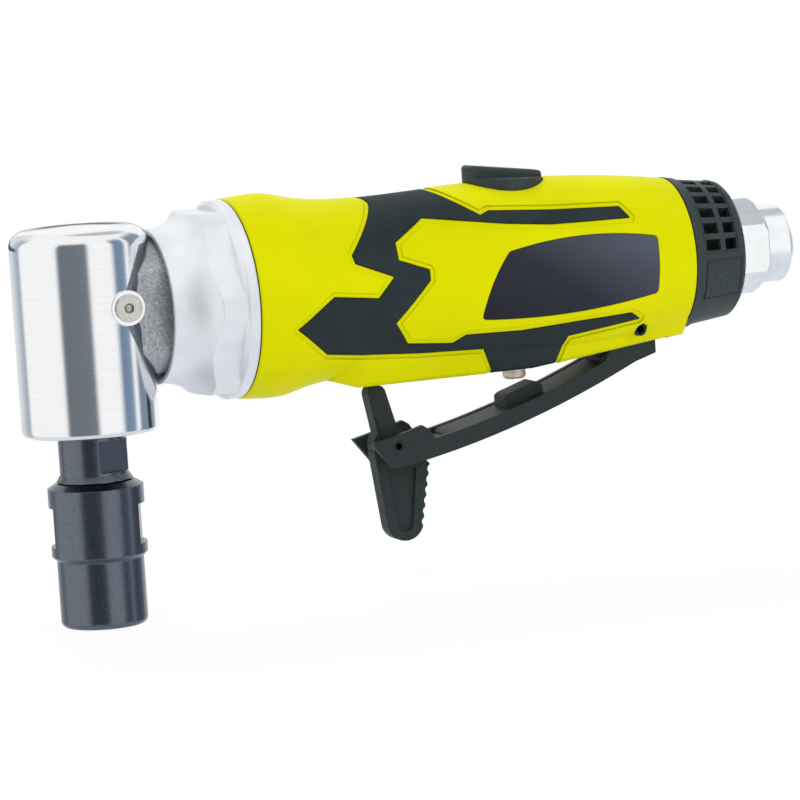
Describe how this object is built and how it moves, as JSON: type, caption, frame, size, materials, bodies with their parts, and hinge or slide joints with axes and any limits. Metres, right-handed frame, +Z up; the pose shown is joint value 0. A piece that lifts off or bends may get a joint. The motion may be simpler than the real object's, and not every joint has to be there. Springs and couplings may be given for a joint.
{
  "type": "right angle air die grinder",
  "caption": "Right angle pneumatic die grinder: yellow handle with soft grip, lock-off lever, speed knob and swivel exhaust, angle head with a collet spindle.",
  "frame": {"origin": "middle of the collet's mouth, on the spindle axis", "axes": "+Z up the spindle to the top of the angle head, +X along the motor to the air inlet, +Y across the handle"},
  "size_m": [0.1845, 0.0458, 0.0939],
  "materials": {
    "head_aluminium": "polished",
    "nut_aluminium": "satin die-cast",
    "inner_aluminium": "machined",
    "dark_steel": "black oxide",
    "steel": "ground",
    "cast_iron": "machined",
    "housing_plastic": "moulded, satin gloss",
    "grip_rubber": "fine matt grain",
    "side_plate": "dark, smooth",
    "lever_plastic": "moulded, matt",
    "collar_plastic": "moulded, matt",
    "knob_plastic": "moulded, matt",
    "bronze": "turned",
    "inlet_chrome": "bright nickel plate",
    "seal_rubber": "smooth",
    "vane_resin": "machined laminate",
    "felt": "felt"
  },
  "bodies": {
    "housing": {"angle_head": "head_aluminium", "bearing_cap": "dark_steel", "grease_nipple": "inlet_chrome", "pinion_circlip": "steel", "clamp_nut": "nut_aluminium", "head_gasket": "seal_rubber", "motor_sleeve": "inner_aluminium", "front_end_plate": "cast_iron", "cylinder_liner": "cast_iron", "rear_end_plate": "cast_iron", "grip_housing": "housing_plastic", "soft_grip": "grip_rubber", "side_plate": "side_plate", "valve_block": "inner_aluminium", "valve_bush": "bronze", "bush_o_ring": "seal_rubber", "valve_spring": "steel", "lever_pin": "steel", "air_inlet": "inlet_chrome", "inlet_screen": "bronze", "inlet_o_ring": "seal_rubber", "exhaust_silencer": "felt", "spindle_lower_bearing_outer_ring": "steel", "spindle_lower_bearing_balls": "steel", "spindle_upper_bearing_outer_ring": "steel", "spindle_upper_bearing_balls": "steel", "pinion_bearing_outer_ring": "steel", "pinion_bearing_balls": "steel", "rotor_front_bearing_outer_ring": "steel", "rotor_front_bearing_balls": "steel", "rotor_rear_bearing_outer_ring": "steel", "rotor_rear_bearing_balls": "steel"},
    "exhaust": {"exhaust_collar": "collar_plastic"},
    "regulator": {"regulator_knob": "knob_plastic", "regulator_spool": "inner_aluminium", "spool_o_ring": "seal_rubber"},
    "lever": {"throttle_lever": "lever_plastic", "latch_pin": "steel"},
    "latch": {"safety_latch": "lever_plastic", "latch_spring": "steel"},
    "plunger": {"valve_plunger": "bronze", "valve_poppet": "seal_rubber"},
    "rotor": {"rotor": "steel", "rotor_vanes": "vane_resin", "drive_pinion": "steel", "drive_coupling": "steel", "rotor_front_bearing_inner_ring": "steel", "rotor_rear_bearing_inner_ring": "steel", "pinion_bearing_inner_ring": "steel"},
    "spindle": {"spindle": "dark_steel", "bevel_gear": "steel", "gear_circlip": "steel", "spindle_lower_bearing_inner_ring": "steel", "spindle_upper_bearing_inner_ring": "steel", "collet": "steel", "collet_nut": "dark_steel"}
  },
  "joints": [
    {"name": "motor_spin", "type": "hinge", "parent": "housing", "child": "rotor", "pos_m": [0, 0, 0.0693], "axis": [1, 0, 0], "continuous": true},
    {"name": "spindle_spin", "type": "hinge", "parent": "housing", "child": "spindle", "pos_m": [0, 0, 0], "axis": [0, 0, 1], "continuous": true},
    {"name": "lever_press", "type": "hinge", "parent": "housing", "child": "lever", "pos_m": [0.1285, 0, 0.0539], "axis": [0, 1, 0], "range_deg": [0, 7], "stiffness_Nm_per_rad": 0.4, "springref_deg": -6.88},
    {"name": "latch_swing", "type": "hinge", "parent": "lever", "child": "latch", "pos_m": [0.0697, 0, 0.033], "axis": [0, 1, 0], "range_deg": [0, 85]},
    {"name": "plunger_slide", "type": "slide", "parent": "housing", "child": "plunger", "axis": [0, 0, 1], "range_m": [0, 0.0023], "deforming": ["valve_spring"]},
    {"name": "regulator_turn", "type": "hinge", "parent": "housing", "child": "regulator", "pos_m": [0.1014, 0, 0.0693], "axis": [0, 0, 1], "range_deg": [0, 90]},
    {"name": "exhaust_swivel", "type": "hinge", "parent": "housing", "child": "exhaust", "pos_m": [0, 0, 0.0693], "axis": [1, 0, 0], "continuous": true}
  ],
  "couplings": [
    {"joint": "spindle_spin", "follows": "motor_spin", "ratio": 0.78947},
    {"joint": "latch_swing", "follows": "lever_press", "ratio": 12.14},
    {"joint": "plunger_slide", "follows": "lever_press", "m_per_rad": 0.0188}
  ]
}
